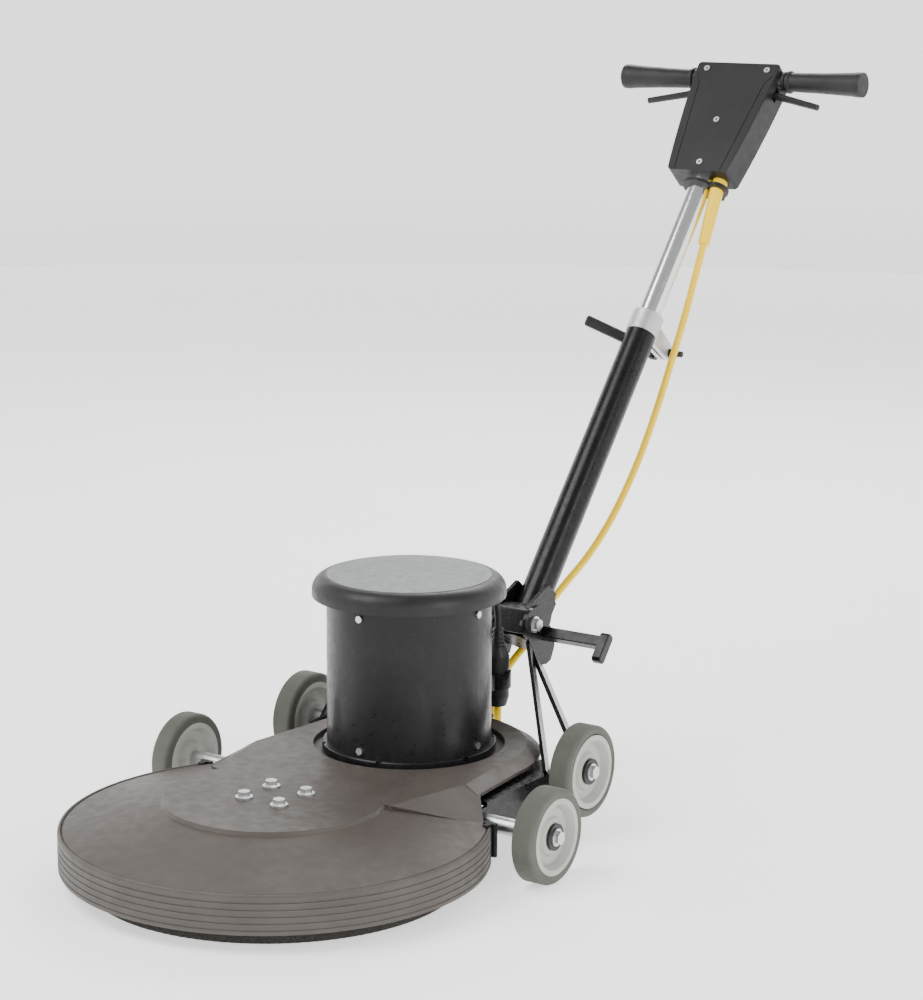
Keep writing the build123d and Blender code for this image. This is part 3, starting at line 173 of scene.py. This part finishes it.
def painted_steel(name, first, second, roughness, peel=0.08, coat=0.0):
    """Paint on steel: orange peel, faint dust and fine scuffs."""
    finish = Finish(
        name,
        roughness,
        Coat_Weight=coat,
        Coat_Roughness=PAINT_COAT_ROUGHNESS,
        Specular_IOR_Level=PAINT_SPECULAR,
    )
    finish.colours(finish.spread(finish.noise(22, 5), 0, 1, 0.35, 0.75), first, second)
    finish.roughness(finish.spread(finish.noise(90, 6), roughness - 0.05, roughness + 0.12))
    finish.bump(finish.noise(420, 2), peel, 0.0004)
    return finish.material


def bare_metal(name, first, second, roughness, grain=900, strength=0.12, stretch=(1, 1, 1)):
    """Bare metal with patches of duller surface; stretch draws the grain out in one direction."""
    finish = Finish(name, roughness, metallic=1.0)
    finish.colours(finish.spread(finish.noise(35, 5), 0, 1), first, second)
    finish.roughness(finish.spread(finish.noise(130, 6, 0.6, stretch), roughness - 0.05, roughness + 0.15))
    finish.bump(finish.noise(grain, 3, 0.5, stretch), strength, 0.0002)
    return finish.material


def fibre_pad(name):
    """Non-woven fibre: coarse, deep and matte."""
    finish = Finish(name, 0.95)
    finish.colours(finish.spread(finish.noise(420, 6), 0, 1), (0.008, 0.007, 0.006), (0.045, 0.04, 0.034))
    finish.bump(finish.noise(300, 8, 0.7), 0.9, 0.002)
    return finish.material


MATERIALS = {
    "deck_plastic": moulded_plastic(
        "deck_plastic", (0.06, 0.05, 0.044), (0.075, 0.063, 0.055), 0.5, 900, 0.4
    ),
    "skirt_rubber": moulded_plastic("skirt_rubber", (0.06, 0.052, 0.046), (0.075, 0.066, 0.058), 0.55),
    "black_plastic": moulded_plastic("black_plastic", (0.008, 0.008, 0.009), (0.014, 0.014, 0.015), 0.42),
    "zinc_steel": bare_metal("zinc_steel", (0.5, 0.51, 0.52), (0.62, 0.62, 0.6), 0.32),
    "cast_aluminium": bare_metal("cast_aluminium", (0.5, 0.51, 0.52), (0.6, 0.6, 0.61), 0.42, 500, 0.35),
    "bearing_steel": bare_metal("bearing_steel", (0.45, 0.46, 0.47), (0.55, 0.55, 0.56), 0.25),
    "frame_paint": painted_steel("frame_paint", (0.003, 0.003, 0.0035), (0.006, 0.006, 0.007), 0.24, 0.06),
    "motor_paint": painted_steel("motor_paint", (0.006, 0.006, 0.007), (0.012, 0.012, 0.013), 0.3, 0.1),
    "disc_label": painted_steel("disc_label", (0.13, 0.14, 0.145), (0.15, 0.16, 0.165), 0.4),
    "motor_iron": bare_metal("motor_iron", (0.2, 0.19, 0.18), (0.28, 0.26, 0.25), 0.6),
    "belt_rubber": moulded_plastic("belt_rubber", (0.01, 0.01, 0.01), (0.02, 0.02, 0.02), 0.7),
    "grip_rubber": moulded_plastic(
        "grip_rubber", (0.007, 0.007, 0.008), (0.013, 0.013, 0.013), 0.5, 1100, 0.4
    ),
    "head_plastic": moulded_plastic("head_plastic", (0.008, 0.008, 0.009), (0.013, 0.013, 0.014), 0.4),
    "chrome_tube": bare_metal(
        "chrome_tube", (0.78, 0.79, 0.8), (0.84, 0.84, 0.85), 0.1, 300, 0.02, (6, 1, 1)
    ),
    "lever_metal": painted_steel("lever_metal", (0.01, 0.01, 0.011), (0.02, 0.02, 0.02), 0.35),
    "tyre_rubber": moulded_plastic("tyre_rubber", (0.07, 0.075, 0.062), (0.1, 0.1, 0.085), 0.7, 1000, 0.4),
    "rim_plastic": moulded_plastic("rim_plastic", (0.33, 0.33, 0.3), (0.4, 0.4, 0.37), 0.45),
    "pad_fibre": fibre_pad("pad_fibre"),
    "driver_plastic": moulded_plastic("driver_plastic", (0.015, 0.016, 0.018), (0.02, 0.02, 0.022), 0.5),
    "driver_iron": bare_metal("driver_iron", (0.05, 0.05, 0.05), (0.08, 0.08, 0.075), 0.6, 500, 0.4),
    "safety_yellow": moulded_plastic("safety_yellow", (0.85, 0.55, 0.0), (0.9, 0.6, 0.003), 0.36, 700, 0.12),
}


def finish_nodes():
    """Each CAD piece takes the material of its slot."""
    for part in frame["record"]["subparts"]:
        node = frame["nodes"][part["node"]]
        node.data.materials.clear()
        node.data.materials.append(MATERIALS[part["material_slot"]])


finish_nodes()


# ---- cords: the same route points as the CAD tubes ----
BOOT_TOP = handle_point(0.0315, 0.001, 0.668)
BOOT_END = handle_point(0.031, 0.024, 0.575)
BOOT_DIR = (BOOT_END - BOOT_TOP).normalized()
CLIP_EXIT = handle_point(0.006, 0.036, -0.095)
CONNECTOR = Vector((0.017, 0.515, 0.122))
LEAD_START = Vector((0.017, 0.515, 0.240))

UPPER_ROUTE = [
    BOOT_END,
    BOOT_END + BOOT_DIR * 0.056,
    handle_point(0.030, 0.053, 0.455),
    handle_point(0.029, 0.0665, 0.382),
    handle_point(0.027, 0.082, 0.300),
    handle_point(0.023, 0.0945, 0.208),
    handle_point(0.018, 0.094, 0.112),
    handle_point(0.013, 0.079, 0.030),
    handle_point(0.008, 0.053, -0.036),
    handle_point(0.006, 0.036, -0.079),
]
LOWER_ROUTE = [
    CLIP_EXIT,
    handle_point(0.006, 0.036, -0.128),
    Vector((-0.022, 0.623, 0.166)),
    Vector((-0.041, 0.606, 0.130)),
    Vector((-0.036, 0.580, 0.086)),
    Vector((-0.019, 0.560, 0.060)),
    Vector((0.002, 0.5325, 0.060)),
    Vector((0.017, 0.515, 0.087)),
    CONNECTOR,
]
LEAD_ROUTE = [
    LEAD_START,
    Vector((0.017, 0.515, 0.268)),
    Vector((0.018, 0.500, 0.296)),
    Vector((0.019, 0.466, 0.311)),
    Vector((0.020, 0.4263, 0.311)),
]


def add_route(name, points, radius):
    """NURBS curve through the route's control points, clamped to its ends."""
    curve = bpy.data.curves.new(name, "CURVE")
    curve.dimensions = "3D"
    curve.resolution_u = 16
    curve.bevel_depth = radius
    curve.bevel_resolution = 6
    curve.use_fill_caps = True
    spline = curve.splines.new("NURBS")
    spline.points.add(len(points) - 1)
    for control, place in zip(spline.points, points):
        control.co = (*place, 1)
    spline.order_u = 3
    spline.use_endpoint_u = True
    piece = bpy.data.objects.new(name, curve)
    bpy.context.scene.collection.objects.link(piece)
    return piece


def route_line(piece):
    """Points along a curve's own line, and their length."""
    bevel = piece.data.bevel_depth
    piece.data.bevel_depth = 0
    piece.data.use_fill_caps = False
    bpy.context.view_layer.update()
    line = bpy.data.meshes.new_from_object(piece)
    points = [v.co.copy() for v in line.vertices]
    piece.data.bevel_depth = bevel
    piece.data.use_fill_caps = True
    return points, sum((b - a).length for a, b in zip(points, points[1:]))


def add_cord(name, route, radius, node, bodies, material):
    """A cord as a mesh tube along its spline; a cord joining two bodies is baked into world space, and one
    on a single body is attached to it.
    """
    piece = add_route(name + "_line", route, radius)
    points, length = route_line(piece)
    bpy.context.view_layer.update()
    tube = bpy.data.objects.new(name, bpy.data.meshes.new_from_object(piece))
    bpy.context.scene.collection.objects.link(tube)
    bpy.data.objects.remove(piece)
    for face in tube.data.polygons:
        face.use_smooth = True
    tube.data.materials.clear()
    tube.data.materials.append(MATERIALS[material])
    if len(bodies) == 2:
        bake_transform(tube)
    else:
        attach(tube, bodies[0])
    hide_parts(node)


add_cord("cord_upper_tube", UPPER_ROUTE, CORD_RADIUS, "cord_upper", ("upper", "handle"), "safety_yellow")
add_cord("cord_lower_tube", LOWER_ROUTE, CORD_RADIUS, "cord_lower", ("handle", "chassis"), "safety_yellow")
add_cord("motor_lead_tube", LEAD_ROUTE, LEAD_RADIUS, "motor_lead", ("chassis",), "grip_rubber")


# ---- floor and light ----
MACHINE_CENTRE = (0, 0.4, 0.3)
FLOOR_SIDES = 96
# Radius and height of each ring: flat to 7 m, then rising as the studio's backdrop.
FLOOR_RINGS = [(7.0, 0.0), (8.5, 0.15), (9.6, 0.6), (10.4, 1.4), (10.8, 2.4), (11.0, 3.6), (11.0, 6.0)]
FLOOR_GLOW = 0.9
WORLD_STRENGTH = 0.5
# Name, place, size and power in watts of each soft light.
LIGHTS = [
    ("key", (-1.4, -1.4, 3.4), (2.4, 2.4), 130),
    ("fill", (3.0, -0.2, 1.8), (0.8, 2.4), 45),
    ("back", (-0.8, 3.2, 2.6), (2.6, 1.0), 90),
]


def add_floor():
    """Pale round floor whose rim rises all round, so that no view shows a horizon."""
    mesh = bpy.data.meshes.new("floor")
    sides = FLOOR_SIDES
    turns = [2 * pi * k / sides for k in range(sides)]
    rings = [[(r * cos(turn), r * sin(turn), z) for turn in turns] for r, z in FLOOR_RINGS]
    faces = [tuple(range(sides))]
    for ring in range(len(FLOOR_RINGS) - 1):
        low = ring * sides
        for k in range(sides):
            after = (k + 1) % sides
            faces.append((low + k, low + after, low + sides + after, low + sides + k))
    mesh.from_pydata([corner for ring in rings for corner in ring], [], faces)
    for face in mesh.polygons:
        face.use_smooth = len(face.vertices) == 4
    floor = bpy.data.objects.new("floor", mesh)
    bpy.context.scene.collection.objects.link(floor)
    finish = Finish("floor", 0.8, Emission_Color=(1, 1, 1, 1), Emission_Strength=FLOOR_GLOW)
    finish.colours(finish.spread(finish.noise(3), 0, 1), (0.9, 0.9, 0.9), (0.93, 0.93, 0.93))
    mesh.materials.append(finish.material)


def add_light(name, place, size, power):
    data = bpy.data.lights.new(name, "AREA")
    data.shape = "RECTANGLE"
    data.size, data.size_y = size
    data.energy = power
    lamp = bpy.data.objects.new(name, data)
    bpy.context.scene.collection.objects.link(lamp)
    lamp.location = place
    lamp.rotation_euler = (Vector(MACHINE_CENTRE) - Vector(place)).to_track_quat("-Z", "Y").to_euler()


def add_world():
    world = bpy.data.worlds.new("studio")
    bpy.context.scene.world = world
    world.use_nodes = True
    background = world.node_tree.nodes["Background"]
    background.inputs["Color"].default_value = (1, 1, 1, 1)
    background.inputs["Strength"].default_value = WORLD_STRENGTH


add_floor()
add_world()
for light in LIGHTS:
    add_light(*light)
